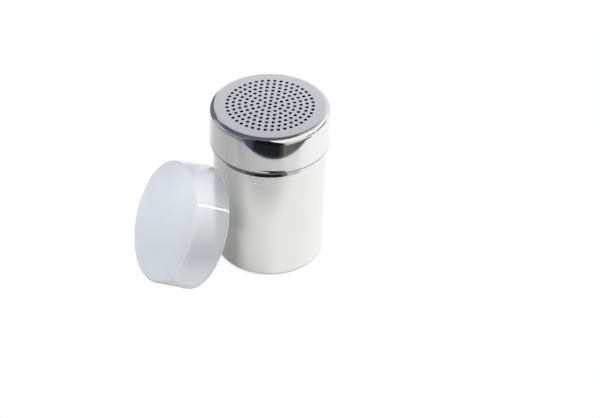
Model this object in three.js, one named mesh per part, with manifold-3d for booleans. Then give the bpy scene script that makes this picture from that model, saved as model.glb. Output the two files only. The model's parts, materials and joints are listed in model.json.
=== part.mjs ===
// Sugar dredger: a drawn steel cup, a perforated push-on lid and a plastic cover for the lid.
// Units are millimetres and +Z is up. The origin is the centre of the cup's flat base.
// The cover is taken off, and stands on its open rim, leaning against the cup.
import * as THREE from "three";
import { mergeVertices } from "three/addons/utils/BufferGeometryUtils.js";
import Module from "manifold-3d";

const wasm = await Module();
wasm.setup();

// Cup: a straight can with a base corner, a short shoulder that draws in to a narrower neck inside the lid
const CUP_RADIUS = 33.2;
const CUP_WALL = 0.5;
const BASE_THICKNESS = 0.6;
const BASE_CORNER = 3.0;
const STOP_HEIGHT = 76.8;
const STOP_STEP = 0.5;
const STOP_RISE = 2.9;
const NECK_CURL_HOLLOW = 0.1;

// Lid: a flat perforated plate, a rounded corner, a slightly flared skirt and a curled hem
const LID_HEIGHT = 23.4;
const LID_WALL = 0.5;
const LID_CORNER = 3.3;
const LID_FLARE = 0.8;
const HEM_HOLLOW = 1.1;
const HEM_HEIGHT = 2.0;
const HOLE_DIAMETER = 2.0;
const HOLE_PITCH = 3.5;
const HOLE_BORDER = 6.0;
const HOLES_IN_FIRST_RING = 6;
const HOLE_TURN = THREE.MathUtils.degToRad(25.5);

// Cover: a thin cup of frosted plastic with a small lip round its mouth
const COVER_DEPTH = 22.0;
const COVER_WALL = 1.0;
const COVER_CORNER = 2.2;
const COVER_LIP = 0.25;
const COVER_LIP_HEIGHT = 1.2;

// Clearances
const LID_SEAT_GAP = 0.3;
const LID_FIT = 0.3;
const NECK_HEADROOM = 0.7;
const COVER_FIT = 0.3;
const LEAN_GAP = 0.3;

// How the cover leans: the way it faces, its tilt from upright, and how far its foot is off centre
const COVER_TURN = THREE.MathUtils.degToRad(22.8);
const COVER_LEAN = THREE.MathUtils.degToRad(27.0);
const COVER_SIDE = -9.9;

// Facets
const TURN_SEGMENTS = 48;
const CORNER_STEPS = 4;
const CURL_STEPS = 6;
const HOLE_SIDES = 8;
const LEAN_SAMPLES = 720;

// Sizes that follow from the ones above
const neckRadius = CUP_RADIUS - STOP_STEP;
const neckCurl = CUP_WALL + NECK_CURL_HOLLOW;
const hemWidth = 2 * LID_WALL + HEM_HOLLOW;
const lidBottom = STOP_HEIGHT + LID_SEAT_GAP;
const lidTop = lidBottom + LID_HEIGHT;
const hemInnerRadius = neckRadius + LID_FIT;
const lidRimRadius = hemInnerRadius + hemWidth;
const lidTopRadius = lidRimRadius - LID_FLARE;
const plateRadius = lidTopRadius - LID_CORNER;
const neckTop = lidTop - LID_CORNER - NECK_HEADROOM;

const steel = new THREE.MeshStandardMaterial({ color: 0xd4d5d8, roughness: 0.16, metalness: 1.0 });
const lidSteel = new THREE.MeshStandardMaterial({ color: 0xdcdde0, roughness: 0.1, metalness: 1.0 });
const frostedPlastic = new THREE.MeshStandardMaterial({
  color: 0xdfe5ea,
  roughness: 0.45,
  metalness: 0.0,
  transparent: true,
  opacity: 0.6,
});

// Points of an elliptic arc in a profile, where a profile point is (radius, height)
function arc(centreRadius, centreHeight, acrossRadius, upRadius, fromDegrees, toDegrees, steps) {
  const points = [];
  for (let i = 0; i <= steps; i += 1) {
    const angle = THREE.MathUtils.degToRad(fromDegrees + ((toDegrees - fromDegrees) * i) / steps);
    const radius = centreRadius + acrossRadius * Math.cos(angle);
    const height = centreHeight + upRadius * Math.sin(angle);
    points.push(new THREE.Vector2(radius, height));
  }
  return points;
}

function at(radius, height) {
  return new THREE.Vector2(radius, height);
}

// Turns a profile round the Z axis. It runs from the axis and back to it with its material on the left.
function turned(profile) {
  const geometry = new THREE.LatheGeometry(profile, TURN_SEGMENTS);
  return geometry.rotateX(Math.PI / 2);
}

// Merges a geometry's shared vertices and drops the flat triangles that a lathe leaves on its axis
function solid(geometry) {
  const bare = geometry.clone();
  bare.deleteAttribute("normal");
  bare.deleteAttribute("uv");
  const merged = mergeVertices(bare, 1e-4);
  const index = merged.getIndex().array;
  const kept = [];
  for (let i = 0; i < index.length; i += 3) {
    const [a, b, c] = [index[i], index[i + 1], index[i + 2]];
    if (a !== b && b !== c && c !== a) {
      kept.push(a, b, c);
    }
  }
  const vertProperties = new Float32Array(merged.getAttribute("position").array);
  const triVerts = new Uint32Array(kept);
  return new wasm.Manifold(new wasm.Mesh({ numProp: 3, vertProperties, triVerts }));
}

function geometryOf(manifold) {
  const mesh = manifold.getMesh();
  const geometry = new THREE.BufferGeometry();
  geometry.setAttribute("position", new THREE.BufferAttribute(mesh.vertProperties, 3));
  geometry.setIndex(new THREE.BufferAttribute(mesh.triVerts, 1));
  geometry.computeVertexNormals();
  return geometry;
}

function cupProfile() {
  const innerRadius = CUP_RADIUS - CUP_WALL;
  const innerCorner = BASE_CORNER - CUP_WALL;
  const cornerRadius = CUP_RADIUS - BASE_CORNER;
  const curlHeight = neckTop - neckCurl;
  const curlEnd = 360 - THREE.MathUtils.radToDeg(Math.acos(NECK_CURL_HOLLOW / neckCurl));
  const stopStart = STOP_HEIGHT - STOP_RISE;
  return [
    at(0, 0),
    ...arc(cornerRadius, BASE_CORNER, BASE_CORNER, BASE_CORNER, -90, 0, CORNER_STEPS),
    at(CUP_RADIUS, stopStart),
    at(neckRadius, STOP_HEIGHT),
    ...arc(neckRadius - neckCurl, curlHeight, neckCurl, neckCurl, 0, curlEnd, CURL_STEPS),
    at(neckRadius - CUP_WALL, STOP_HEIGHT),
    at(innerRadius, stopStart),
    ...arc(cornerRadius, BASE_THICKNESS + innerCorner, innerCorner, innerCorner, 0, -90, CORNER_STEPS),
    at(0, BASE_THICKNESS),
  ];
}

function lidProfile() {
  const innerCorner = LID_CORNER - LID_WALL;
  const cornerHeight = lidTop - LID_CORNER;
  const hemTop = lidBottom + HEM_HEIGHT;
  const hemMiddleRadius = lidRimRadius - hemWidth / 2;
  return [
    at(0, lidTop - LID_WALL),
    ...arc(plateRadius, cornerHeight, innerCorner, innerCorner, 90, 0, CORNER_STEPS),
    at(lidRimRadius - LID_WALL, hemTop + LID_WALL),
    at(hemInnerRadius + LID_WALL, hemTop),
    ...arc(hemMiddleRadius, lidBottom + HEM_HEIGHT / 2, hemWidth / 2, HEM_HEIGHT / 2, -180, 0, CURL_STEPS),
    at(lidRimRadius, hemTop),
    ...arc(plateRadius, cornerHeight, LID_CORNER, LID_CORNER, 0, 90, CORNER_STEPS),
    at(0, lidTop),
  ];
}

// Round punches that go right through the lid's plate, in rings that each hold six more than the last
function holePunches() {
  const rings = Math.floor((plateRadius - HOLE_BORDER) / HOLE_PITCH);
  const punches = [];
  for (let ring = 0; ring <= rings; ring += 1) {
    const count = Math.max(1, HOLES_IN_FIRST_RING * ring);
    for (let i = 0; i < count; i += 1) {
      const angle = HOLE_TURN + (2 * Math.PI * i) / count;
      const punch = new THREE.CylinderGeometry(HOLE_DIAMETER / 2, HOLE_DIAMETER / 2, 3 * LID_WALL, HOLE_SIDES);
      punch.rotateX(Math.PI / 2);
      const along = ring * HOLE_PITCH;
      punch.translate(along * Math.cos(angle), along * Math.sin(angle), lidTop - LID_WALL / 2);
      punches.push(solid(punch));
    }
  }
  return wasm.Manifold.union(punches);
}

// The lid's outer radius at a depth below its top
function lidRadiusAt(depth) {
  const share = (depth - LID_CORNER) / (LID_HEIGHT - HEM_HEIGHT - LID_CORNER);
  return lidTopRadius + LID_FLARE * THREE.MathUtils.clamp(share, 0, 1);
}

// The cover's inner radius at its mouth, so that it drops over the lid with its fit all round
function coverMouthRadius() {
  return lidRadiusAt(COVER_DEPTH - COVER_WALL) + COVER_FIT;
}

// The cover's outer radius at its mouth
function coverLipRadius() {
  return coverMouthRadius() + COVER_WALL + COVER_LIP;
}

function coverProfile() {
  const endInner = lidTopRadius + COVER_FIT;
  const innerCorner = COVER_CORNER - COVER_WALL;
  const cornerRadius = endInner - innerCorner;
  const cornerHeight = COVER_DEPTH - COVER_CORNER;
  const mouthInner = coverMouthRadius();
  const mouthOuter = mouthInner + COVER_WALL;
  return [
    at(0, COVER_DEPTH - COVER_WALL),
    ...arc(cornerRadius, cornerHeight, innerCorner, innerCorner, 90, 0, CORNER_STEPS),
    at(mouthInner, 0),
    at(coverLipRadius(), 0),
    at(coverLipRadius(), COVER_LIP_HEIGHT),
    at(mouthOuter, COVER_LIP_HEIGHT),
    ...arc(cornerRadius, cornerHeight, COVER_CORNER, COVER_CORNER, 0, 90, CORNER_STEPS),
    at(0, COVER_DEPTH),
  ];
}

// How near the axis a leaning piece may come at a height
function leanRadiusAt(height) {
  if (height > lidTop) {
    return 0;
  }
  return (height > STOP_HEIGHT - LEAN_GAP ? lidRimRadius : CUP_RADIUS) + LEAN_GAP;
}

// How far the cover's foot stands from the cup's axis, so that its rim leans on the cup's side
function footDistance() {
  const rim = coverLipRadius();
  let distance = 0;
  for (let i = 0; i < LEAN_SAMPLES; i += 1) {
    const angle = (2 * Math.PI * i) / LEAN_SAMPLES;
    const rise = rim * (1 - Math.cos(angle));
    const reach = leanRadiusAt(rise * Math.cos(COVER_LEAN));
    const aside = COVER_SIDE + rim * Math.sin(angle);
    if (Math.abs(aside) < reach) {
      distance = Math.max(distance, rise * Math.sin(COVER_LEAN) + Math.sqrt(reach ** 2 - aside ** 2));
    }
  }
  return distance;
}

function makeCup() {
  const cup = new THREE.Mesh(turned(cupProfile()), steel);
  cup.name = "cup";
  return cup;
}

function makeLid() {
  const shell = solid(turned(lidProfile()));
  const lid = new THREE.Mesh(geometryOf(shell.subtract(holePunches())), lidSteel);
  lid.name = "perforated_lid";
  return lid;
}

// The cover's own axis runs from its mouth to its closed end. Its group faces the cup.
function makeCover() {
  const cover = new THREE.Mesh(turned(coverProfile()), frostedPlastic);
  cover.name = "cover";
  const rim = coverLipRadius();
  cover.rotation.y = COVER_LEAN - Math.PI / 2;
  cover.position.set(rim * Math.sin(COVER_LEAN) - footDistance(), COVER_SIDE, rim * Math.cos(COVER_LEAN));
  const facing = new THREE.Group();
  facing.rotation.z = COVER_TURN;
  facing.add(cover);
  return facing;
}

const dredger = new THREE.Group();
dredger.add(makeCup(), makeLid(), makeCover());

export default dredger;
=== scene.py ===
"""Dresses a sugar dredger: polished cup, perforated lid and frosted cover, in a plain pale studio."""

import json
import math

import bmesh
import bpy
from bpy.props import FloatProperty, FloatVectorProperty, IntProperty, PointerProperty
from mathutils import Matrix, Vector


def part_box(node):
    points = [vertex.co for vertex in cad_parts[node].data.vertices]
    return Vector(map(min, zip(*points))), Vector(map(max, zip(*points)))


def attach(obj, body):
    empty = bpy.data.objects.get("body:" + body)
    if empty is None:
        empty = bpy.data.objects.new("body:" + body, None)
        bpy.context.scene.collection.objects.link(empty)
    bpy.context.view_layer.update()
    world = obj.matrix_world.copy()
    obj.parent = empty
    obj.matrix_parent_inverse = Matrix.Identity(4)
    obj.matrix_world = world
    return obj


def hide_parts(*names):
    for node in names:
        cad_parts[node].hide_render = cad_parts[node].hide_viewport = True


bl_info = {
    "name": "Sugar dredger",
    "version": (1, 0, 0),
    "blender": (4, 5, 0),
    "location": "View3D > Sidebar > Dredger",
    "description": "Makes the fine surfaces, finishes and studio of a steel sugar dredger",
    "category": "Add Mesh",
}

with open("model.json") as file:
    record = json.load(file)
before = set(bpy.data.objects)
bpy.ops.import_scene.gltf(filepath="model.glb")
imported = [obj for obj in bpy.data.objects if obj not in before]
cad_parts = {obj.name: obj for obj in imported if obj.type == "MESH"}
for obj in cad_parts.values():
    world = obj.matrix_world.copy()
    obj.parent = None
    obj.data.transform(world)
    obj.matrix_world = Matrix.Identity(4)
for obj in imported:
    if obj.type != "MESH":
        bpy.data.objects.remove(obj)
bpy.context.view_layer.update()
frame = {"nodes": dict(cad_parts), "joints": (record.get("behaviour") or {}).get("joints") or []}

MM = 0.001
FULL_TURN = 2 * math.pi

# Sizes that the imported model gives
CUP_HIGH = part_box("cup")[1]
LID_LOW, LID_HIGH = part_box("perforated_lid")
CUP_RADIUS = CUP_HIGH.x
NECK_TOP = CUP_HIGH.z
LID_RIM_RADIUS = LID_HIGH.x
LID_BOTTOM = LID_LOW.z
LID_TOP = LID_HIGH.z
COVER_AXIS = Vector(next(j["axis"] for j in frame["joints"] if j["child"] == "cover"))

# How finely the round shapes are drawn: steps round a piece and round a hole, and degrees for each step of an
# arc and of a hole's punched edge
ROUND = 240
HOLE_ROUND = 20
ARC_STEP = 6.0
PUNCH_STEP = 30.0

# A straight stretch has a point this close to each end, so that the arcs beside it shade cleanly
STRAIGHT_HELD = 0.12 * MM

# A profile's point this close to the axis becomes a single vertex
ON_AXIS = 0.001 * MM

# Edges that bend by more than this are drawn sharp
SHARP_ANGLE = math.radians(50)


def length(name, description, millimetres):
    """A length property whose default is given in millimetres."""
    return FloatProperty(
        name=name,
        description=description,
        default=millimetres * MM,
        unit="LENGTH",
        subtype="DISTANCE",
        precision=5,
    )


def tint(name, description, default):
    """A colour property."""
    return FloatVectorProperty(
        name=name, description=description, default=default, subtype="COLOR", size=3, min=0, max=1
    )


def factor(name, description, default):
    """A property between none and all."""
    return FloatProperty(name=name, description=description, default=default, subtype="FACTOR", min=0, max=1)


class DredgerCupSizes(bpy.types.PropertyGroup):
    """The drawn steel cup."""

    wall: length("Wall", "Thickness of the cup's sheet", 0.5)
    base: length("Base", "Thickness of the cup's base", 0.6)
    corner: length("Base corner", "Outer radius between base and wall", 3.0)
    stop_height: length("Stop height", "Height of the shoulder that the lid stops on", 76.8)
    stop_step: length("Stop step", "How far the neck is set in at the shoulder", 0.5)
    stop_rise: length("Stop rise", "Height over which the shoulder draws in", 3.4)
    curl: length("Curl", "Radius of the curl round the neck's top edge", 0.6)
    ripple: length("Ripple", "How far the two faint drawing ripples stand out under the lid", 0.025)
    ripple_half: length("Ripple half", "Half the height of one ripple", 0.8)
    first_ripple: length("First ripple", "How far under the shoulder the upper ripple stands", 2.0)
    second_ripple: length("Second ripple", "How far under the shoulder the lower ripple stands", 4.3)
    rippled: length("Rippled", "How far down from the shoulder the wall is drawn finely", 6.0)


class DredgerLidSizes(bpy.types.PropertyGroup):
    """The perforated lid."""

    wall: length("Wall", "Thickness of the lid's sheet", 0.5)
    corner: length("Corner", "Outer radius between plate and skirt", 3.3)
    taper: length("Taper", "How far the skirt widens from the corner to the hem", 0.716)
    ease: length("Ease", "How far the skirt draws in where it runs into the corner", 0.042)
    flare: length("Flare", "How far the skirt steps out over the hem", 0.04)
    mark: length("Mark", "Depth of the shallow mark pressed into the skirt's front, over the hem", 0.17)
    crown: length("Crown", "How far the middle of the plate stands above its edge", 0.38)
    hem_width: length("Hem width", "Width of the rolled hem", 2.1)
    hem_height: length("Hem height", "Height of the rolled hem", 1.4)
    hole: length("Hole", "Diameter of each hole", 2.08)
    hole_edge: length("Hole edge", "Rounding of the punched edge", 0.05)
    pitch: length("Pitch", "Distance from one ring of holes to the next", 3.5)
    rings: IntProperty(name="Rings", description="Rings of holes round the middle one", default=7, min=1)
    first_ring: IntProperty(name="First ring", description="Holes in the innermost ring", default=6, min=1)
    turn: FloatProperty(
        name="Turn",
        description="Where each ring's first hole stands",
        default=math.radians(25.5),
        unit="ROTATION",
    )


class DredgerCoverSizes(bpy.types.PropertyGroup):
    """The frosted cover."""

    wall: length("Wall", "Thickness of the plastic", 1.0)
    corner: length("Corner", "Outer radius between the end and the wall", 2.2)
    lip: length("Lip", "How far the lip stands out round the mouth", 0.25)
    lip_height: length("Lip height", "Height of the lip", 1.2)
    lip_edge: length("Lip edge", "Rounding of the lip's edges", 0.12)
    end_radius: length("End radius", "Outer radius of the wall at the closed end", 35.6)


class DredgerFinishes(bpy.types.PropertyGroup):
    """Colours and finishes."""

    cup_steel: tint("Cup steel", "Colour of the polished cup", (0.80, 0.80, 0.79))
    lid_steel: tint("Lid steel", "Colour of the mirror-polished skirt", (0.82, 0.82, 0.82))
    plate_steel: tint("Plate steel", "Colour of the satin plate", (0.72, 0.72, 0.745))
    # The dull colour is dark as painted shade on the cup's and lid's inner faces, on the lid's undersides and
    # on the hem's foot. The dull finish itself is real
    dull_shaded_steel: tint("Dull shaded steel", "Colour of the dull inner faces and hem", (0.30, 0.30, 0.31))
    # Near black: painted shade inside the holes' walls
    shaded_bore_steel: tint("Shaded bore steel", "Colour of the raw walls of the holes", (0.11, 0.11, 0.12))
    plastic: tint("Plastic", "Colour of the frosted plastic", (0.925, 0.955, 0.995))
    cup_roughness: factor("Cup roughness", "Roughness of the polished cup", 0.10)
    lid_roughness: factor("Lid roughness", "Roughness of the polished skirt", 0.04)
    plate_roughness: factor("Plate roughness", "Roughness of the satin plate", 0.27)
    end_roughness: factor("End roughness", "Roughness of the cover's frosted end", 0.60)
    end_clearness: factor("End clearness", "How much light the cover's end lets through", 0.66)
    wall_roughness: factor("Wall roughness", "Roughness of the cover's glossier wall", 0.22)
    wall_clearness: factor("Wall clearness", "How much light the cover's wall lets through", 0.80)
    wall_gloss: factor("Wall gloss", "Gloss over the cover's wall", 0.6)


def at(radius, height):
    """A point of a profile."""
    return (radius, height)


def arc(radius, height, across, up, start, end, step=ARC_STEP):
    """Points of an elliptic arc round a centre at that radius and height, between two angles in degrees."""
    steps = max(2, math.ceil(abs(end - start) / step))
    points = []
    for i in range(steps + 1):
        angle = math.radians(start + (end - start) * i / steps)
        points.append(at(radius + across * math.cos(angle), height + up * math.sin(angle)))
    return points


def between(start, end, share):
    """The point at a share of the way from one profile point to another."""
    return at(start[0] + (end[0] - start[0]) * share, start[1] + (end[1] - start[1]) * share)


def straight(start, end):
    """Points along a stretch between two arcs: one close to each end and one halfway."""
    held = STRAIGHT_HELD / math.dist(start, end)
    return [between(start, end, share) for share in (held, 0.5, 1 - held)]


def circle(radius, height, count, centre=(0, 0)):
    """Places on a level circle, in order round it."""
    places = []
    for i in range(count):
        angle = FULL_TURN * i / count
        places.append((centre[0] + radius * math.cos(angle), centre[1] + radius * math.sin(angle), height))
    return places


def turned(bm, profile):
    """Turns a profile of radius and height round the Z axis and returns its rings of vertices."""
    rings = []
    for radius, height in profile:
        places = [(0, 0, height)] if radius < ON_AXIS else circle(radius, height, ROUND)
        rings.append([bm.verts.new(place) for place in places])
    for first, second in zip(rings, rings[1:]):
        band(bm, first, second)
    return rings


def band(bm, first, second):
    """Faces between two rings, either of which may be a single vertex on the axis."""
    count = max(len(first), len(second))
    for i in range(count):
        j = (i + 1) % count
        below = [first[i % len(first)], first[j % len(first)]]
        above = [second[j % len(second)], second[i % len(second)]]
        bm.faces.new(list(dict.fromkeys(below + above)))


def ring_edges(bm, ring):
    """The edges round a ring of vertices."""
    return [bm.edges.get((ring[i - 1], ring[i])) for i in range(len(ring))]


def placed(name, data):
    """A new object in the scene."""
    made = bpy.data.objects.new(name, data)
    bpy.context.scene.collection.objects.link(made)
    return made


def meshed(bm, name, materials):
    """A new object of the mesh, with its materials."""
    mesh = bpy.data.meshes.new(name)
    bm.to_mesh(mesh)
    bm.free()
    for material in materials:
        mesh.materials.append(material)
    return placed(name, mesh)


def finished(bm, name, body, node, materials):
    """Makes a smooth piece of the mesh, sets it on its body and stands it for its node."""
    bmesh.ops.recalc_face_normals(bm, faces=bm.faces)
    piece = meshed(bm, name, materials)
    piece.data.shade_smooth()
    piece.data.set_sharp_from_angle(angle=SHARP_ANGLE)
    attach(piece, body)
    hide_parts(node)
    return piece


def add_node(tree, kind, inputs=None, **settings):
    """Adds a node. Its inputs are values or the sockets that feed them."""
    made = tree.nodes.new(kind)
    for name, value in settings.items():
        setattr(made, name, value)
    for key, value in (inputs or {}).items():
        if isinstance(value, bpy.types.NodeSocket):
            tree.links.new(value, made.inputs[key])
        else:
            made.inputs[key].default_value = value
    return made


def worked_out(tree, operation, *values):
    """The result of a Math node."""
    return add_node(tree, "ShaderNodeMath", dict(enumerate(values)), operation=operation).outputs["Value"]


def multiplied(tree, first, second):
    """The product of two values."""
    return worked_out(tree, "MULTIPLY", first, second)


def on_vectors(tree, operation, inputs):
    """The outputs of a Vector Math node."""
    return add_node(tree, "ShaderNodeVectorMath", inputs, operation=operation).outputs


def bearing(tree, direction):
    """A direction's angle round the Z axis in degrees, 0 towards the front and growing to the right."""
    parts = add_node(tree, "ShaderNodeSeparateXYZ", {"Vector": direction}).outputs
    front = multiplied(tree, parts["Y"], -1.0)
    return worked_out(tree, "DEGREES", worked_out(tree, "ARCTAN2", parts["X"], front))


def ranged(tree, value, low, high, from_low, from_high):
    """A value between low and high, as another value goes between two limits."""
    inputs = {"Value": value, "From Min": from_low, "From Max": from_high, "To Min": low, "To Max": high}
    return add_node(tree, "ShaderNodeMapRange", inputs).outputs["Result"]


def blended(tree, share, low, high):
    """A value between low and high, at a share that goes from zero to one."""
    return ranged(tree, share, low, high, 0.0, 1.0)


def mixed_colour(tree, share, first, second):
    """The first colour where the share is zero, and the second where it is one."""
    inputs = {"Factor": share, "A": first, "B": second}
    return add_node(tree, "ShaderNodeMix", inputs, data_type="RGBA").outputs["Result"]


def tinted(tree, value, colour, depth):
    """The colour, a little darker where the value is low."""
    dark = (*(c * (1 - depth) for c in colour), 1)
    return mixed_colour(tree, value, dark, (*colour, 1))


# Most of a noise's values lie between these two
NOISE_LOW = 0.3
NOISE_HIGH = 0.7

# How fine each pattern of the finishes is, along X, Y and Z where it is stretched
SMUDGES = 45.0
POLISHING_LINES = (60, 60, 5200)
SHEET_WAVES = (38, 38, 30)
PLATE_CLOUDS = 90.0
SANDED_GRAIN = (2200, 5200, 2200)
DRAWING_MARKS = (2400, 2400, 90)
PLASTIC_CLOUDS = 40.0
MOULDED_GRAIN = 2600.0

# The sanded plate scatters some light as a matt surface does
SATIN_METAL = 0.85

# Kept low, so that the thin plastic hardly shifts what shows through it
PLASTIC_IOR = 1.15

# How rough the gloss over the cover's wall is
GLOSS_ROUGHNESS = 0.04


def new_material(name, metal=0.0):
    """A new material, with its tree, its Principled shader and the place on the surface."""
    material = bpy.data.materials.new(name)
    material.use_nodes = True
    tree = material.node_tree
    shader = tree.nodes["Principled BSDF"]
    shader.inputs["Metallic"].default_value = metal
    coordinates = add_node(tree, "ShaderNodeTexCoord")
    return material, tree, shader, coordinates.outputs["Object"]


def noise(tree, place, scale, detail):
    """A noise's value over a place. The scale may be one number, or one for each axis."""
    if isinstance(scale, tuple):
        place = add_node(tree, "ShaderNodeMapping", {"Vector": place, "Scale": scale}).outputs["Vector"]
        scale = 1.0
    inputs = {"Vector": place, "Scale": scale, "Detail": detail}
    return add_node(tree, "ShaderNodeTexNoise", inputs).outputs["Fac"]


def spread(tree, value, low, high):
    """A noise's value, set to go between low and high."""
    return ranged(tree, value, low, high, NOISE_LOW, NOISE_HIGH)


def bumped(tree, height, strength, depth, normal=None):
    """A normal that rises and falls with the height, over another normal if one is given."""
    inputs = {"Height": height, "Strength": strength, "Distance": depth}
    if normal is not None:
        inputs["Normal"] = normal
    return add_node(tree, "ShaderNodeBump", inputs).outputs["Normal"]


def feed(tree, shader, colour, roughness, normal):
    """Gives the shader its colour, its roughness and its normal."""
    tree.links.new(colour, shader.inputs["Base Color"])
    tree.links.new(roughness, shader.inputs["Roughness"])
    tree.links.new(normal, shader.inputs["Normal"])


def polished_steel(name, colour, roughness, wave):
    """Bright steel with polishing lines round it, faint smudges and a little waviness in the sheet."""
    material, tree, shader, place = new_material(name, metal=1.0)
    smudges = noise(tree, place, SMUDGES, detail=4.0)
    lines = noise(tree, place, POLISHING_LINES, detail=2.0)
    sheet = noise(tree, place, SHEET_WAVES, detail=1.0)
    fine = bumped(tree, lines, strength=0.25, depth=0.002 * MM)
    feed(
        tree,
        shader,
        colour=tinted(tree, smudges, colour, depth=0.05),
        roughness=spread(tree, smudges, low=roughness * 0.8, high=roughness * 1.35),
        normal=bumped(tree, sheet, strength=1.0, depth=wave, normal=fine),
    )
    return material


def satin_steel(name, colour, roughness):
    """The plate's fine sanded grain, which runs the same way all over it."""
    material, tree, shader, place = new_material(name, metal=SATIN_METAL)
    clouds = noise(tree, place, PLATE_CLOUDS, detail=3.0)
    grain = noise(tree, place, SANDED_GRAIN, detail=3.0)
    feed(
        tree,
        shader,
        colour=tinted(tree, clouds, colour, depth=0.03),
        roughness=spread(tree, grain, low=roughness * 0.9, high=roughness * 1.12),
        normal=bumped(tree, grain, strength=0.2, depth=0.004 * MM),
    )
    return material


def dull_steel(name, colour):
    """Unpolished steel, with drawing marks up the wall."""
    material, tree, shader, place = new_material(name, metal=1.0)
    marks = noise(tree, place, DRAWING_MARKS, detail=3.0)
    feed(
        tree,
        shader,
        colour=tinted(tree, marks, colour, depth=0.15),
        roughness=spread(tree, marks, low=0.28, high=0.42),
        normal=bumped(tree, marks, strength=0.3, depth=0.006 * MM),
    )
    return material


def frosted_plastic(name, colour, roughness, clearness, gloss):
    """Cool white translucent plastic with a fine moulded grain and soft clouds in its thickness."""
    material, tree, shader, place = new_material(name)
    shader.inputs["IOR"].default_value = PLASTIC_IOR
    shader.inputs["Transmission Weight"].default_value = clearness
    shader.inputs["Coat Weight"].default_value = gloss
    shader.inputs["Coat Roughness"].default_value = GLOSS_ROUGHNESS
    clouds = noise(tree, place, PLASTIC_CLOUDS, detail=3.0)
    grain = noise(tree, place, MOULDED_GRAIN, detail=2.0)
    feed(
        tree,
        shader,
        colour=tinted(tree, clouds, colour, depth=0.04),
        roughness=spread(tree, clouds, low=roughness * 0.92, high=roughness * 1.08),
        normal=bumped(tree, grain, strength=0.2, depth=0.01 * MM),
    )
    return material


# The cup's base and its neck have a point this far from the rounding beside them, so that they shade flat
CUP_HELD = 0.2 * MM

# How far the sheet curls over at the neck's edge, in degrees
CURLED_TO = 260

# Where the dull finish stands among the cup's materials. Its roughness and marks are real, and its dark
# colour is painted shade inside the cup
CUP_DULL_SHADED = 1


def rippled(sizes, low, high):
    """The wall's points from a low to a high height, with two soft ripples that stand out round it."""
    step = 0.1 * MM
    half = sizes.ripple_half
    middles = (high - sizes.first_ripple, high - sizes.second_ripple)
    count = round((high - low) / step)
    points = []
    for i in range(1, count):
        z = low + (high - low) * i / count
        out = 0.0
        for middle in middles:
            if abs(z - middle) < half:
                out += sizes.ripple / 2 * (1 + math.cos(math.pi * (z - middle) / half))
        points.append(at(CUP_RADIUS + out, z))
    return points


def drawn_in(foot, head):
    """Points up a wall from a foot to a narrower head, along a slope with rounded ends."""
    round_share = 0.15
    steps = 24
    points = []
    for i in range(steps + 1):
        share = i / steps
        if share < round_share:
            across = share * share / (2 * round_share)
        elif share > 1 - round_share:
            across = 1 - round_share - (1 - share) ** 2 / (2 * round_share)
        else:
            across = share - round_share / 2
        across /= 1 - round_share
        points.append(at(between(foot, head, across)[0], between(foot, head, share)[1]))
    return points


def cup_outside(sizes, flat_radius, neck, shoulder, curl_height):
    """The cup's outer profile, from the middle of its base up to the curled edge of its neck."""
    ripples_from = shoulder - sizes.rippled
    profile = [at(0, 0), at(flat_radius / 2, 0), at(flat_radius - CUP_HELD, 0)]
    profile += arc(flat_radius, sizes.corner, sizes.corner, sizes.corner, -90, 0)
    profile += straight(at(CUP_RADIUS, sizes.corner), at(CUP_RADIUS, ripples_from))
    profile += rippled(sizes, ripples_from, shoulder)
    profile += drawn_in(at(CUP_RADIUS, shoulder), at(neck, sizes.stop_height))
    profile += straight(at(neck, sizes.stop_height + CUP_HELD), at(neck, curl_height))
    profile += arc(neck - sizes.curl, curl_height, sizes.curl, sizes.curl, 0, CURLED_TO)
    return profile


def cup_inside(sizes, flat_radius, neck, shoulder, curl_height):
    """The cup's inner profile, from under the neck's curled edge down to the middle of its base."""
    inner_neck = neck - sizes.wall
    inner_radius = CUP_RADIUS - sizes.wall
    inner_corner = sizes.corner - sizes.wall
    profile = straight(at(inner_neck, curl_height - sizes.curl), at(inner_neck, sizes.stop_height))
    profile += reversed(drawn_in(at(inner_radius, shoulder), at(inner_neck, sizes.stop_height)))
    profile += straight(at(inner_radius, shoulder), at(inner_radius, sizes.corner))
    profile += arc(flat_radius, sizes.base + inner_corner, inner_corner, inner_corner, 0, -90)
    profile += [at(flat_radius / 2, sizes.base), at(0, sizes.base)]
    return profile


class DREDGER_OT_cup(bpy.types.Operator):
    """Makes the drawn cup"""

    bl_idname = "dredger.cup"
    bl_label = "Cup"

    def execute(self, context):
        sizes = context.scene.dredger_cup
        finish = context.scene.dredger_finish
        flat_radius = CUP_RADIUS - sizes.corner
        neck = CUP_RADIUS - sizes.stop_step
        shoulder = sizes.stop_height - sizes.stop_rise
        curl_height = NECK_TOP - sizes.curl
        outside = cup_outside(sizes, flat_radius, neck, shoulder, curl_height)
        inside = cup_inside(sizes, flat_radius, neck, shoulder, curl_height)
        bm = bmesh.new()
        rings = turned(bm, outside + inside)
        for ring in rings[len(outside):]:
            for vertex in ring:
                for face in vertex.link_faces:
                    face.material_index = CUP_DULL_SHADED
        materials = [
            polished_steel("polished cup steel", finish.cup_steel, finish.cup_roughness, wave=0.02 * MM),
            # The dull inside's roughness and marks are real, and its dark colour is painted shade inside the
            # cup
            dull_steel("dull cup steel with painted shade", finish.dull_shaded_steel),
        ]
        finished(bm, "cup_shell", "cup", "cup", materials)
        return {"FINISHED"}


# How steep the lid's rounded corner still is, in degrees, where the skirt takes over
CORNER_ENDS = 6.0

# The plate is filled between its holes out to this far past the last ring of them, and it has two more rings
# this far from its rounded corner, so that it shades flat
FILLED_PAST = 2.5 * MM
PLATE_HELD = (1.0 * MM, 0.15 * MM)

# The skirt's shape: where it steps out and over what half height, how far under the corner it eases in, how
# finely it is drawn, and how far over the hem's middle it ends
STEP_MIDDLE = LID_BOTTOM + 2.3 * MM
STEP_HALF = 0.9 * MM
EASE_HEIGHT = 1.2 * MM
SKIRT_STEPS = 80
SKIRT_FOOT = 0.2 * MM

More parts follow.
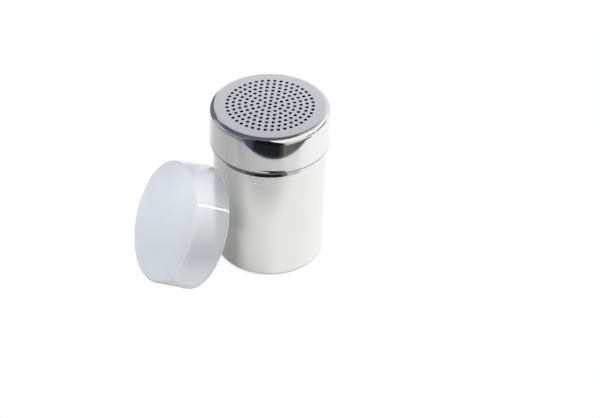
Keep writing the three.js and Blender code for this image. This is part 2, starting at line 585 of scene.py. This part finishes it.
# The pressed mark: the angle of its middle round the front and half its width, how it slants, and its lowest,
# deepest and highest places
MARK_MIDDLE = math.radians(10)
MARK_HALF = math.radians(12.5)
MARK_SLANT = 1.8 * MM
MARK_FOOT = LID_BOTTOM + 0.1 * MM
MARK_DEEPEST = LID_BOTTOM + 2.25 * MM
MARK_HEAD = LID_BOTTOM + 9.5 * MM

# The hem's hidden edge: how far under the hem's top it starts, and how far inside the skirt's sheet and over
# that top its ledge lies and the skirt's lining starts
CURL_DROP = 0.6 * MM
LEDGE_GAP = 0.35 * MM
LEDGE_RISE = 0.1 * MM
LINING_GAP = 0.3 * MM
LINING_RISE = 1.0 * MM

# The rings of one hole, in shares of its rounded edge: the outside and the inside of the flat round it, where
# the bore starts, and how far the lower edge is broken
HOLE_FLAT_OUT = 7.0
HOLE_FLAT_IN = 2.0
BORE_FROM = 1.2
LOWER_BREAK = 0.3

# How deep the plate's own finish goes at the holes' edges, how steeply down a face looks that counts as an
# underside, and how far over its middle the hem stays dull, with the dull finish's dark colour as painted
# shade under the hem
SATIN_DEPTH = 0.06 * MM
FACES_DOWN = -0.5
SHADED_HEM = 0.3 * MM

# The finishes of the lid's faces, in the order of its materials. The dull one's dark colour is painted shade
# on the inner faces, the undersides and the hem's foot, and the bores' near black is painted shade in the
# holes
LID_SKIRT, LID_PLATE, LID_DULL_SHADED, LID_BORE_SHADED = range(4)


def hole_centres(sizes):
    """The middle hole, then rings that each hold one more set than the last."""
    centres = [(0.0, 0.0)]
    for ring in range(1, sizes.rings + 1):
        count = sizes.first_ring * ring
        reach = ring * sizes.pitch
        for i in range(count):
            angle = sizes.turn + FULL_TURN * i / count
            centres.append((reach * math.cos(angle), reach * math.sin(angle)))
    return centres


def hole_rings(bm, centre, sizes):
    """One punched hole through the plate, from a flat ring on top to a flat ring below."""
    radius = sizes.hole / 2
    edge = sizes.hole_edge
    under = LID_TOP - sizes.wall
    profile = [at(radius + HOLE_FLAT_OUT * edge, LID_TOP), at(radius + HOLE_FLAT_IN * edge, LID_TOP)]
    profile += arc(radius + edge, LID_TOP - edge, edge, edge, 90, 180, PUNCH_STEP)
    profile += [at(radius, LID_TOP - edge * BORE_FROM), at(radius, under + edge * LOWER_BREAK)]
    profile += [at(radius + edge * LOWER_BREAK, under), at(radius + HOLE_FLAT_IN * edge, under)]
    rings = []
    for reach, height in profile:
        rings.append([bm.verts.new(place) for place in circle(reach, height, HOLE_ROUND, centre)])
    for first, second in zip(rings, rings[1:]):
        band(bm, first, second)
    return rings[0], rings[-1]


def soft_step(share):
    """Rises softly from zero to one."""
    share = min(1, max(0, share))
    return share * share * (3 - 2 * share)


def skirt(sizes, start, end):
    """The skirt's outer points: a light taper that eases into the corner, with one soft step over the hem."""
    widening = end[0] - start[0] - sizes.ease - sizes.flare
    points = []
    for i in range(1, SKIRT_STEPS):
        z = start[1] + (end[1] - start[1]) * i / SKIRT_STEPS
        eased = 1 - max(0, 1 - (start[1] - z) / EASE_HEIGHT) ** 2
        stepped = soft_step((STEP_MIDDLE + STEP_HALF - z) / (2 * STEP_HALF))
        radius = start[0] + widening * i / SKIRT_STEPS + sizes.ease * eased + sizes.flare * stepped
        points.append(at(radius, z))
    return points


def lid_outline(sizes, filled, plate, corner_height, hem_centre):
    """The lid's profile, from the plate's top round the hem to its underside, and its points on the skirt."""
    wall = sizes.wall
    inner_corner = sizes.corner - wall
    lining = LID_RIM_RADIUS - wall
    hem_half = sizes.hem_width / 2
    hem_rise = sizes.hem_height / 2
    hem_middle = LID_RIM_RADIUS - hem_half
    hem_inside = hem_middle - hem_half
    hem_top = hem_centre + hem_rise
    outline = [at(filled, LID_TOP)]
    outline += [at(plate - held, LID_TOP) for held in PLATE_HELD]
    outline += arc(plate, corner_height, sizes.corner, sizes.corner, 90, CORNER_ENDS)
    skirt_from = len(outline)
    outline += skirt(sizes, outline[-1], at(LID_RIM_RADIUS, hem_centre + SKIRT_FOOT))
    outline += arc(hem_middle, hem_centre, hem_half, hem_rise, 0, -90)
    skirt_to = len(outline)
    outline += arc(hem_middle, hem_centre, hem_half, hem_rise, -90, -180)[1:]
    outline += [at(hem_inside, hem_top - CURL_DROP), at(hem_inside + wall, hem_top)]
    outline += [at(lining - LEDGE_GAP, hem_top + LEDGE_RISE)]
    lining_foot = at(lining - LINING_GAP, hem_top + LINING_RISE)
    outline += straight(lining_foot, at(plate + inner_corner, corner_height))
    outline += arc(plate, corner_height, inner_corner, inner_corner, 0, 90)
    outline += [at(filled, LID_TOP - wall)]
    return outline, slice(skirt_from, skirt_to)


def press_mark(rings, depth):
    """Presses a shallow mark into the skirt's front, deepest just over the hem."""
    for ring in rings:
        for vertex in ring:
            angle = math.atan2(vertex.co.x, -vertex.co.y)
            aside = abs(angle - MARK_MIDDLE) / MARK_HALF
            height = vertex.co.z + MARK_SLANT * angle
            if aside >= 1 or not MARK_FOOT < height < MARK_HEAD:
                continue
            if height < MARK_DEEPEST:
                share = (height - MARK_FOOT) / (MARK_DEEPEST - MARK_FOOT)
            else:
                share = (MARK_HEAD - height) / (MARK_HEAD - MARK_DEEPEST)
            inward = depth * soft_step(share) * soft_step(1 - aside)
            reach = math.hypot(vertex.co.x, vertex.co.y)
            vertex.co.x *= 1 - inward / reach
            vertex.co.y *= 1 - inward / reach


def crown_plate(bm, crown, plate, corner_height):
    """Raises the plate's middle a little over its edge, by lowering all that lies outside it."""
    for vertex in bm.verts:
        outward = min(1, math.hypot(vertex.co.x, vertex.co.y) / plate)
        upward = max(0, (vertex.co.z - corner_height) / (LID_TOP - corner_height))
        vertex.co.z -= crown * outward * outward * upward


def fill_plate(bm, sizes, rim_above, rim_below):
    """Punches the holes, and fills the plate's two faces between them and the turned outline."""
    edges_above = ring_edges(bm, rim_above)
    edges_below = ring_edges(bm, rim_below)
    for centre in hole_centres(sizes):
        above, below = hole_rings(bm, centre, sizes)
        edges_above += ring_edges(bm, above)
        edges_below += ring_edges(bm, below)
    for edges in (edges_above, edges_below):
        bmesh.ops.triangle_fill(bm, edges=edges, use_beauty=True, use_dissolve=False, normal=(0, 0, 1))
    bmesh.ops.recalc_face_normals(bm, faces=bm.faces)


def lid_finish(face, filled, hem_centre):
    """Which of the lid's finishes a face has. The bores, the inner faces, the undersides and the hem's foot
    take the dark colours that paint their shade.
    """
    middle = face.calc_center_median()
    inward = middle.x * face.normal.x + middle.y * face.normal.y < 0
    if middle.z > LID_TOP - SATIN_DEPTH:
        return LID_PLATE
    if math.hypot(middle.x, middle.y) < filled and face.normal.z > FACES_DOWN:
        return LID_BORE_SHADED
    if inward or face.normal.z < FACES_DOWN or middle.z < hem_centre + SHADED_HEM:
        return LID_DULL_SHADED
    return LID_SKIRT


class DREDGER_OT_lid(bpy.types.Operator):
    """Makes the perforated lid"""

    bl_idname = "dredger.lid"
    bl_label = "Perforated lid"

    def execute(self, context):
        sizes = context.scene.dredger_lid
        finish = context.scene.dredger_finish
        plate = LID_RIM_RADIUS - sizes.taper - sizes.flare - sizes.corner
        filled = sizes.rings * sizes.pitch + FILLED_PAST
        corner_height = LID_TOP - sizes.corner
        hem_centre = LID_BOTTOM + sizes.hem_height / 2
        outline, pressed = lid_outline(sizes, filled, plate, corner_height, hem_centre)
        bm = bmesh.new()
        rings = turned(bm, outline)
        press_mark(rings[pressed], sizes.mark)
        fill_plate(bm, sizes, rings[0], rings[-1])
        for face in bm.faces:
            face.material_index = lid_finish(face, filled, hem_centre)
        crown_plate(bm, sizes.crown, plate, corner_height)
        materials = [
            polished_steel("polished lid steel", finish.lid_steel, finish.lid_roughness, wave=0.01 * MM),
            satin_steel("satin plate steel", finish.plate_steel, finish.plate_roughness),
            # The dull lid steel's dark colour is painted shade inside the lid, under it and at the hem's foot
            dull_steel("dull lid steel with painted shade", finish.dull_shaded_steel),
            # Near black: painted shade inside the holes' walls
            dull_steel("bore steel with painted shade", finish.shaded_bore_steel),
        ]
        finished(bm, "lid_shell", "lid", "perforated_lid", materials)
        return {"FINISHED"}


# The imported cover's points this close to the plane of its mouth are on the mouth, and points that agree to
# this many decimals are the same
MOUTH_DEPTH = 0.05 * MM
SAME_DECIMALS = 6

# The cover's end has rings at this share of its flat radius and this far from its rounded corner, so that it
# shades flat
END_RING = 0.6
END_HELD = 0.3 * MM

# The finishes of the cover's faces, in the order of its materials
COVER_END, COVER_WALL = range(2)


def cover_facts():
    """The cover's mouth centre, its depth and its lip radius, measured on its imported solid."""
    vertices = frame["nodes"]["cover"].data.vertices
    points = {tuple(round(c, SAME_DECIMALS) for c in vertex.co) for vertex in vertices}
    points = [Vector(point) for point in points]
    along = [point.dot(COVER_AXIS) for point in points]
    nearest = min(along)
    mouth = [point for point, reach in zip(points, along) if reach < nearest + MOUTH_DEPTH]
    centre = sum(mouth, Vector()) / len(mouth)
    offsets = [point - centre for point in points]
    radius = max((offset - COVER_AXIS * offset.dot(COVER_AXIS)).length for offset in offsets)
    return centre, max(along) - nearest, radius


def cover_place(centre):
    """The cover's own frame: Z from its mouth to its closed end, and Y level."""
    level = Vector((0, 0, 1)).cross(COVER_AXIS).normalized()
    across = level.cross(COVER_AXIS)
    return Matrix.Translation(centre) @ Matrix((across, level, COVER_AXIS)).transposed().to_4x4()


def cover_profile(sizes, depth, lip_radius):
    """The cover's profile, from the middle of its inside, round the lip, to the middle of its end."""
    wall = sizes.wall
    corner = sizes.corner
    soft = sizes.lip_edge
    outer = lip_radius - sizes.lip
    mouth = outer - wall
    inner_corner = corner - wall
    flat_radius = sizes.end_radius - corner
    corner_height = depth - corner
    ceiling = depth - wall
    profile = [at(0, ceiling), at(flat_radius * END_RING, ceiling), at(flat_radius - END_HELD, ceiling)]
    profile += arc(flat_radius, corner_height, inner_corner, inner_corner, 90, 0)
    profile += straight(at(flat_radius + inner_corner, corner_height), at(mouth, soft * 2))
    profile += arc(mouth + soft, soft, soft, soft, 180, 270)
    profile += arc(lip_radius - soft, soft, soft, soft, -90, 0)
    profile += arc(lip_radius - soft, sizes.lip_height - soft, soft, soft, 0, 90)
    profile += arc(outer + soft, sizes.lip_height + soft, soft, soft, -90, -180)[1:]
    profile += straight(at(outer, sizes.lip_height + soft * 2), at(sizes.end_radius, corner_height))
    profile += arc(flat_radius, corner_height, corner, corner, 0, 90)
    profile += [at(flat_radius - END_HELD, depth), at(flat_radius * END_RING, depth), at(0, depth)]
    return profile


class DREDGER_OT_cover(bpy.types.Operator):
    """Makes the frosted cover that leans on the cup"""

    bl_idname = "dredger.cover"
    bl_label = "Cover"

    def execute(self, context):
        sizes = context.scene.dredger_cover
        finish = context.scene.dredger_finish
        centre, depth, lip_radius = cover_facts()
        bm = bmesh.new()
        turned(bm, cover_profile(sizes, depth, lip_radius))
        for face in bm.faces:
            past_wall = face.calc_center_median().z > depth - sizes.corner
            face.material_index = COVER_END if past_wall else COVER_WALL
        materials = [
            frosted_plastic(
                "frosted end", finish.plastic, finish.end_roughness, finish.end_clearness, gloss=0.0
            ),
            frosted_plastic(
                "glossy wall", finish.plastic, finish.wall_roughness, finish.wall_clearness, finish.wall_gloss
            ),
        ]
        bm.transform(cover_place(centre))
        shell = finished(bm, "cover_shell", "cover", "cover", materials)
        # The real steel shows hardly any of the pale cover, so mirrored rays pass it by
        shell.visible_glossy = False
        return {"FINISHED"}


# What the polished steel sees round it. Azimuth 0 is towards the front, and it grows to the right.
# Each card has its colour, where its sides stand at the horizon, where its foot and head stand, how soft its
# sides and its ends are, and how far its sides lean for each degree of elevation, all in degrees. A card
# covers those before it.
SURROUNDINGS = (0.68, 0.68, 0.74)
CARDS = (
    # Pale all round under the horizon, then the back and the bright right side
    ((0.98, 0.98, 1.00), -190, 190, -95, -9, 1, 18, 0.0),
    ((0.80, 0.80, 0.86), 120, 180, -95, 53, 16, 12, 0.0),
    ((0.88, 0.88, 0.92), 135, 225, -95, 34, 20, 10, 0.0),
    ((0.50, 0.50, 0.54), 95, 150, 30, 64, 10, 8, 0.0),
    ((1.06, 1.06, 1.07), 35, 138, -95, 34, 12, 8, 0.0),
    ((1.06, 1.06, 1.07), 100, 207, 30, 60, 10, 6, -1.85),
    # The dark ceiling, and the dark and grey left side
    ((0.12, 0.12, 0.14), -210, -85, 46, 100, 14, 8, 0.0),
    ((0.12, 0.12, 0.14), -190, 190, 63, 100, 1, 6, 0.0),
    ((0.12, 0.13, 0.16), -140, -50, 22, 100, 14, 14, 0.0),
    ((0.50, 0.50, 0.54), -122, -84, -95, 31, 14, 14, 0.0),
    ((0.17, 0.18, 0.20), -160, -117, -16, 40, 8, 6, 0.0),
    # The front, from blue-grey on its left to black in its middle
    ((0.26, 0.30, 0.36), -86, -44, -95, 30, 12, 36, 0.0),
    ((0.44, 0.45, 0.46), -86, -58, -95, -8, 14, 12, 0.0),
    ((0.06, 0.075, 0.105), -48, -22, -95, 62, 14, 10, 0.0),
    ((0.006, 0.007, 0.014), -29, 30, -95, 60, 12, 10, 0.0),
    ((0.014, 0.015, 0.019), -29, 28, -95, -26, 12, 8, 0.0),
    # The cream strip to the right of the front, brighter at its head
    ((1.05, 1.02, 0.93), 22, 66, -40, 60, 5, 6, -0.36),
    ((1.16, 1.15, 1.10), 24, 110, 44, 60, 8, 6, -0.36),
    # Narrow shades at the horizon and under it, for the rounded edges that mirror them
    ((0.11, 0.11, 0.10), 25, 52, -95, -31, 18, 4, 0.0),
    ((0.11, 0.11, 0.10), 46, 78, -95, -29, 8, 5, 0.0),
    ((0.11, 0.11, 0.10), 64, 84, -95, -27, 8, 6, 0.0),
    ((0.05, 0.05, 0.06), 66, 120, -12, 5, 12, 4, 0.0),
    ((0.15, 0.15, 0.16), -108, -46, -24, -14, 10, 4, 0.0),
    ((0.66, 0.64, 0.60), 33, 61, -31, -13, 7, 3, 0.0),
    ((0.10, 0.10, 0.10), 24, 35, -22, -13, 6, 3, 0.0),
)

# How bright the studio is for matt surfaces, and how much of the cards a mirrored ray still sees once it has
# gone through the plastic, which spreads it wide
MATT_LIGHT = 0.78
CARDS_THROUGH_PLASTIC = 0.4

WHITE = (1, 1, 1, 1)


def within(tree, angle, low, high, soft):
    """One where the angle is between low and high, and zero past a soft edge."""
    half = (high - low) / 2
    away = worked_out(tree, "SUBTRACT", angle, (low + high) / 2)
    away = worked_out(tree, "ABSOLUTE", worked_out(tree, "WRAP", away, 180.0, -180.0))
    inputs = {
        "Value": away,
        "From Min": half - soft / 2,
        "From Max": half + soft / 2,
        "To Min": 1.0,
        "To Max": 0.0,
    }
    return add_node(tree, "ShaderNodeMapRange", inputs, interpolation_type="SMOOTHSTEP").outputs["Result"]


def ray_kinds(tree):
    """How far a ray has been mirrored by steel, lights a matt surface, and has come through the plastic."""
    rays = add_node(tree, "ShaderNodeLightPath").outputs
    through = rays["Is Transmission Ray"]
    bounced = worked_out(tree, "GREATER_THAN", rays["Glossy Depth"], 0.5)
    mirrored = multiplied(tree, bounced, blended(tree, through, 1.0, CARDS_THROUGH_PLASTIC))
    return mirrored, rays["Is Diffuse Ray"], through


def cards_seen(tree, azimuth, elevation):
    """The colour of the cards in a direction."""
    seen = (*SURROUNDINGS, 1)
    for shade, left, right, foot, head, soft_sides, soft_ends, lean in CARDS:
        leaning = worked_out(tree, "MULTIPLY_ADD", elevation, -lean, azimuth)
        across = within(tree, leaning, left, right, soft_sides)
        upward = within(tree, elevation, foot, head, soft_ends)
        seen = mixed_colour(tree, multiplied(tree, across, upward), seen, (*shade, 1))
    return seen


def studio_world():
    """White to the camera and through plastic, plain light on matt things, and cards for steel to mirror."""
    world = bpy.data.worlds.new("studio")
    bpy.context.scene.world = world
    world.use_nodes = True
    tree = world.node_tree
    background = tree.nodes["Background"]
    direction = add_node(tree, "ShaderNodeTexCoord").outputs["Generated"]
    upward = add_node(tree, "ShaderNodeSeparateXYZ", {"Vector": direction}).outputs["Z"]
    elevation = worked_out(tree, "DEGREES", worked_out(tree, "ARCSINE", upward))
    mirrored, matt, _ = ray_kinds(tree)
    shown = mixed_colour(tree, mirrored, WHITE, cards_seen(tree, bearing(tree, direction), elevation))
    shown = mixed_colour(tree, matt, shown, (MATT_LIGHT, MATT_LIGHT, MATT_LIGHT, 1))
    tree.links.new(shown, background.inputs["Color"])
    background.inputs["Strength"].default_value = 1.0


# The floor is a round pale sheet. The lid's shoulder mirrors what lies past its edge.
FLOOR_RADIUS = 196 * MM
FLOOR_CENTRE = Vector((-8 * MM, 25.3 * MM, 0))
FLOOR_RINGS = 4

# How bright the steel sees the floor, by the angle round a point in front of the cup's axis, where its
# mirrored rays start. The angle is 0 towards the front, and it grows to the right.
FLOOR_FOCUS = Vector((0, -20 * MM, 0))
FLOOR_LIGHT = (
    (-180, 1.05), (-150, 0.72), (-125, 0.47), (-100, 0.41), (-84, 0.37),
    (-71, 0.40), (-62, 0.53), (-52, 0.67), (-43, 0.76), (-10, 0.87),
    (22, 0.99), (70, 1.03), (90, 1.09), (130, 1.10), (180, 1.03),
)
FLOOR_BRIGHTEST = 1.25

# On the left, how much brighter the floor grows from near that point to far from it. The left is given by the
# angles where it starts and ends, and by how soft its ends are.
LEFT_NEAR = 38 * MM
LEFT_FAR = 112 * MM
NEAR_GAIN = -0.05
FAR_GAIN = 0.36
LEFT_SIDE = (-155, -66, 24)

# Where the floor's light falls off towards the front, how much of it is left past there on the left and on
# the right, and between which angles the left turns into the right
FALL_FROM = -84 * MM
FALL_TO = -116 * MM
FALL_LEFT = 0.72
FALL_RIGHT = 0.83
FALL_TURNS = (20, 34)

# The dark line where the cup stands on the floor: how close the cup must be, how open the floor is where the
# line ends, how much light is left in it, and how far from the cup's axis it fades
CONTACT_REACH = 8 * MM
CONTACT_OPEN = 0.5
CONTACT_LEFT = 0.15
CONTACT_FROM = CUP_RADIUS + 4 * MM
CONTACT_TO = CUP_RADIUS + 12 * MM

# The wider shade that the steel sees near a piece: how near, how open the floor is where the shade is full
# and where it ends, how much light is left in it, and the angles where it lies: from, to, and how soft
SHADE_REACH = 26 * MM
SHADE_FULL = 0.4
SHADE_ENDS = 0.95
SHADE_LEFT = 0.80
SHADED_SIDE = (-82, 5, 50)

# Seen through the plastic, the floor has a painted shadow under the cover's mouth: round which place, how
# much light is left there, and how far from it the shadow starts to fade and ends
UNDER_COVER_CENTRE = Vector((-39 * MM, -14 * MM, 0))
UNDER_COVER_LEFT = 0.22
UNDER_COVER_FROM = 4 * MM
UNDER_COVER_TO = 58 * MM

# The floor's matt colour, how white the camera sees it, and how much of its true light and shadow shows then
FLOOR_MATT = 0.80
FLOOR_WHITE = 1.22
TRUE_SHARE = 0.3


def floor_sheet():
    """The pale floor."""
    bm = bmesh.new()
    rings = [[bm.verts.new(FLOOR_CENTRE)]]
    for step in range(1, FLOOR_RINGS + 1):
        reach = FLOOR_RADIUS * step / FLOOR_RINGS
        rings.append([bm.verts.new(place) for place in circle(reach, 0, ROUND, FLOOR_CENTRE)])
    for first, second in zip(rings, rings[1:]):
        band(bm, first, second)
    meshed(bm, "floor", [floor_material()])


def floor_ramp(tree, angle):
    """The floor's brightness by the angle round the focus, as a share of the brightest."""
    ramp = add_node(tree, "ShaderNodeValToRGB", {"Fac": ranged(tree, angle, 0.0, 1.0, -180, 180)})
    stops = ramp.color_ramp.elements
    while len(stops) < len(FLOOR_LIGHT):
        stops.new(0.5)
    for stop, (degrees, brightness) in zip(stops, FLOOR_LIGHT):
        stop.position = (degrees + 180) / 360
        stop.color = (*[brightness / FLOOR_BRIGHTEST] * 3, 1)
    return ramp.outputs["Color"]


def floor_light(tree, place, reach, angle):
    """The floor's light as the steel mirrors it."""
    depth = add_node(tree, "ShaderNodeSeparateXYZ", {"Vector": place}).outputs["Y"]
    left_over = ranged(tree, angle, FALL_LEFT, FALL_RIGHT, *FALL_TURNS)
    fall = ranged(tree, depth, 1.0, left_over, FALL_FROM, FALL_TO)
    outward = ranged(tree, reach, NEAR_GAIN, FAR_GAIN, LEFT_NEAR, LEFT_FAR)
    gain = multiplied(tree, outward, within(tree, angle, *LEFT_SIDE))
    scale = worked_out(tree, "MULTIPLY_ADD", fall, gain, fall)
    return on_vectors(tree, "SCALE", {0: floor_ramp(tree, angle), "Scale": scale})["Vector"]


def openness(tree, reach):
    """How open the floor is within a reach: one with nothing near it, and zero where it is covered."""
    return add_node(tree, "ShaderNodeAmbientOcclusion", {"Distance": reach}).outputs["AO"]


def contact_line(tree, place):
    """How much light is left on the floor in the dark line where the cup stands."""
    from_axis = on_vectors(tree, "LENGTH", {0: place})["Value"]
    darkest = ranged(tree, from_axis, CONTACT_LEFT, 1.0, CONTACT_FROM, CONTACT_TO)
    return ranged(tree, openness(tree, CONTACT_REACH), darkest, 1.0, 0.0, CONTACT_OPEN)


def wide_shade(tree, angle):
    """How much light the steel sees left on the floor near a piece."""
    shadiest = blended(tree, within(tree, angle, *SHADED_SIDE), 1.0, SHADE_LEFT)
    return ranged(tree, openness(tree, SHADE_REACH), shadiest, 1.0, SHADE_FULL, SHADE_ENDS)


def shade_under_cover(tree, place, through):
    """How much of the floor's light a ray through the plastic sees, with a painted shadow round the place
    under the cover's mouth.
    """
    aside = on_vectors(tree, "DISTANCE", {0: place, 1: UNDER_COVER_CENTRE})["Value"]
    dimmed = ranged(tree, aside, UNDER_COVER_LEFT, 1.0, UNDER_COVER_FROM, UNDER_COVER_TO)
    return blended(tree, through, 1.0, dimmed)


def mixed_shader(tree, share, first, second):
    """The first shader where the share is zero, and the second where it is one."""
    inputs = {"Fac": share, 1: first.outputs[0], 2: second.outputs[0]}
    return add_node(tree, "ShaderNodeMixShader", inputs)


def floor_material():
    """Matt white with a soft shadow, as white as the backdrop to the camera, and graded for the steel."""
    material = bpy.data.materials.new("floor")
    material.use_nodes = True
    tree = material.node_tree
    tree.nodes.clear()
    output = add_node(tree, "ShaderNodeOutputMaterial")
    place = add_node(tree, "ShaderNodeTexCoord").outputs["Object"]
    offset = on_vectors(tree, "SUBTRACT", {0: place, 1: FLOOR_FOCUS})["Vector"]
    reach = on_vectors(tree, "LENGTH", {0: offset})["Value"]
    angle = bearing(tree, offset)
    mirrored, lighting, through = ray_kinds(tree)
    contact = contact_line(tree, place)
    white = multiplied(tree, multiplied(tree, contact, shade_under_cover(tree, place, through)), FLOOR_WHITE)
    shaded = multiplied(tree, multiplied(tree, contact, wide_shade(tree, angle)), FLOOR_BRIGHTEST)
    matt = add_node(tree, "ShaderNodeBsdfDiffuse", {"Color": (FLOOR_MATT, FLOOR_MATT, FLOOR_MATT, 1)})
    bright = add_node(tree, "ShaderNodeEmission", {"Color": WHITE, "Strength": white})
    light = floor_light(tree, place, reach, angle)
    seen = add_node(tree, "ShaderNodeEmission", {"Color": light, "Strength": shaded})
    shown = mixed_shader(tree, TRUE_SHARE, bright, matt)
    shown = mixed_shader(tree, mirrored, shown, seen)
    shown = mixed_shader(tree, lighting, shown, matt)
    tree.links.new(shown.outputs[0], output.inputs["Surface"])
    return material


# The softbox: its sides in metres, its power in watts, how high it stands, and how far it is from the place
# that it faces
BOX_WIDTH = 0.06
BOX_HEIGHT = 0.40
BOX_POWER = 1.4
BOX_ELEVATION = math.radians(28)
BOX_DISTANCE = 1.2
BOX_FACES = Vector((0, 0, 50 * MM))


def key_lamp():
    """A compact softbox to the right, whose streak shows on the cover's wall."""
    light = bpy.data.lights.new("key", "AREA")
    light.shape = "RECTANGLE"
    light.size = BOX_WIDTH
    light.size_y = BOX_HEIGHT
    light.energy = BOX_POWER
    lamp = placed("key", light)
    towards = Vector((math.cos(BOX_ELEVATION), 0, math.sin(BOX_ELEVATION)))
    lamp.location = BOX_FACES + towards * BOX_DISTANCE
    lamp.rotation_mode = "QUATERNION"
    lamp.rotation_quaternion = towards.to_track_quat("Z", "Y")
    lamp.visible_camera = False


# The camera: the photograph's width in pixels, its focal length in the same pixels, how far it looks down and
# leans, and where the lid's top centre stands in its own axes
PHOTO_WIDTH = 600
FOCAL_PIXELS = 1314.0
CAMERA_DOWN = math.radians(39.15)
CAMERA_ROLL = math.radians(1.44)
LID_FROM_CAMERA = Vector((-16.92, 59.28, -744.1)) * MM

# The width of its film, in Blender's millimetres, and the nearest and furthest that it sees, in metres
FILM_WIDTH = 36.0
SEES_FROM = 0.01
SEES_TO = 20.0


def camera():
    """The camera at the photograph's angle."""
    data = bpy.data.cameras.new("camera")
    data.sensor_width = FILM_WIDTH
    data.lens = FOCAL_PIXELS * FILM_WIDTH / PHOTO_WIDTH
    data.clip_start = SEES_FROM
    data.clip_end = SEES_TO
    made = placed("camera", data)
    level = Vector((1, 0, 0))
    back = Vector((0, -math.cos(CAMERA_DOWN), math.sin(CAMERA_DOWN)))
    upright = back.cross(level)
    cosine = math.cos(CAMERA_ROLL)
    sine = math.sin(CAMERA_ROLL)
    right = level * cosine + upright * sine
    up = upright * cosine - level * sine
    turn = Matrix((right, up, back)).transposed()
    place = Vector((0, 0, LID_TOP)) - turn @ LID_FROM_CAMERA
    made.matrix_world = Matrix.Translation(place) @ turn.to_4x4()
    bpy.context.scene.camera = made


class DREDGER_OT_studio(bpy.types.Operator):
    """Makes the camera, floor, lamp and surroundings"""

    bl_idname = "dredger.studio"
    bl_label = "Studio"

    def execute(self, context):
        camera()
        studio_world()
        floor_sheet()
        key_lamp()
        context.scene.view_settings.view_transform = "Standard"
        return {"FINISHED"}


class DREDGER_PT_pieces(bpy.types.Panel):
    """Lists the dredger's pieces"""

    bl_idname = "DREDGER_PT_pieces"
    bl_label = "Sugar dredger"
    bl_space_type = "VIEW_3D"
    bl_region_type = "UI"
    bl_category = "Dredger"

    def draw(self, context):
        for operator in OPERATORS:
            self.layout.operator(operator.bl_idname)
        for group in GROUPS:
            box = self.layout.box()
            owner = getattr(context.scene, group)
            for name in owner.__annotations__:
                box.prop(owner, name)


OPERATORS = (DREDGER_OT_studio, DREDGER_OT_cup, DREDGER_OT_lid, DREDGER_OT_cover)
GROUPS = {
    "dredger_cup": DredgerCupSizes,
    "dredger_lid": DredgerLidSizes,
    "dredger_cover": DredgerCoverSizes,
    "dredger_finish": DredgerFinishes,
}
CLASSES = (*GROUPS.values(), *OPERATORS, DREDGER_PT_pieces)


def register():
    """Adds the sizes, operators and panel to Blender."""
    for made in CLASSES:
        bpy.utils.register_class(made)
    for name, group in GROUPS.items():
        setattr(bpy.types.Scene, name, PointerProperty(type=group))


def unregister():
    """Takes them out again."""
    for name in GROUPS:
        delattr(bpy.types.Scene, name)
    for made in reversed(CLASSES):
        bpy.utils.unregister_class(made)


def main():
    """Makes the studio and the pieces."""
    register()
    bpy.ops.dredger.studio()
    bpy.ops.dredger.cup()
    bpy.ops.dredger.lid()
    bpy.ops.dredger.cover()


if __name__ == "__main__":
    main()
